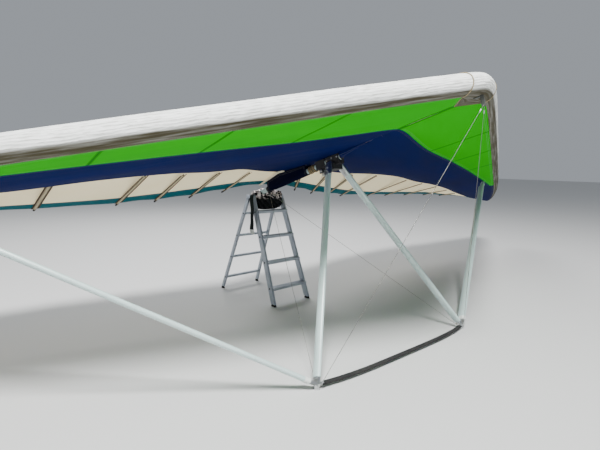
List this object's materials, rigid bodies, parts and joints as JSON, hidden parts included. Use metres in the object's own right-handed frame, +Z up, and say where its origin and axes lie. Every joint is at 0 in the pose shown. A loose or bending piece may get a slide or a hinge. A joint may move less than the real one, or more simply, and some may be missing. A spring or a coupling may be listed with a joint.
{
  "type": "strut-braced hang glider",
  "caption": "Flex-wing hang glider with a braced control frame, side struts and a two-tone lower sail, parked nose high with its keel tail on a padded stepladder.",
  "frame": {"origin": "on the ground under the middle of the whole object's box", "axes": "+X towards the nose, +Y towards the port wing tip, +Z up"},
  "size_m": [2.9181, 10, 1.9731],
  "materials": {
    "white_cloth": "ribbed white sailcloth",
    "sail_cloth": "translucent cream sailcloth",
    "green_cloth": "bright green sailcloth",
    "blue_cloth": "dark blue sailcloth",
    "teal_cloth": "teal sailcloth band",
    "navy_cloth": "navy pocket cloth",
    "painted_tube": "pale powder coat",
    "bright_fitting": "satin machined",
    "white_plastic": "moulded white",
    "black_fitting": "black anodised",
    "black_grip": "black grip sleeve",
    "steel_wire": "stranded wire",
    "tan_webbing": "worn tan webbing",
    "ladder_metal": "weathered aluminium",
    "black_rubber": "matt rubber",
    "woven_cloth": "crumpled woven cloth"
  },
  "bodies": {
    "glider": {"leading_edge_left": "white_cloth", "leading_edge_right": "white_cloth", "sail_left": "sail_cloth", "sail_right": "sail_cloth", "lower_skin_front_left": "green_cloth", "lower_skin_front_right": "green_cloth", "lower_skin_rear_left": "blue_cloth", "lower_skin_rear_right": "blue_cloth", "lower_skin_tip_left": "blue_cloth", "lower_skin_tip_right": "blue_cloth", "trailing_band_left": "teal_cloth", "trailing_band_right": "teal_cloth", "nose_cap": "white_cloth", "nose_plate": "bright_fitting", "keel_tube": "painted_tube", "keel_end_plug": "black_rubber", "keel_pocket": "navy_cloth", "keel_fairing": "blue_cloth", "keel_strap": "tan_webbing", "frame_bracket": "black_fitting", "downtube_top_left": "bright_fitting", "downtube_top_right": "bright_fitting", "downtube_left": "painted_tube", "downtube_right": "painted_tube", "base_bar": "black_grip", "corner_fitting_left": "bright_fitting", "corner_fitting_right": "bright_fitting", "strut_left": "painted_tube", "strut_right": "painted_tube", "strut_knuckle_left": "white_plastic", "strut_knuckle_right": "white_plastic", "strut_head_left": "painted_tube", "strut_head_right": "painted_tube", "hang_bracket": "black_fitting", "tail_tang": "black_fitting", "front_wire_left": "steel_wire", "front_wire_right": "steel_wire", "rear_wire_left": "steel_wire", "rear_wire_right": "steel_wire", "ladder_front_frame": "ladder_metal", "ladder_foot_front_left": "black_rubber", "ladder_foot_front_right": "black_rubber", "cloth_bundle": "woven_cloth"},
    "hang_link": {"hang_block": "bright_fitting"},
    "ladder_rear": {"ladder_rear_frame": "ladder_metal", "ladder_foot_rear_left": "black_rubber", "ladder_foot_rear_right": "black_rubber"}
  },
  "joints": [
    {"name": "hang_block_swing", "type": "hinge", "parent": "glider", "child": "hang_link", "pos_m": [0.01589, 0, 1.3465], "axis": [0, 1, 0], "range_deg": [-30, 30]},
    {"name": "ladder_rear_fold", "type": "hinge", "parent": "glider", "child": "ladder_rear", "pos_m": [-0.97925, 0.084, 1.062], "axis": [0.0584, -0.9983, 0], "range_deg": [0, 40]}
  ]
}
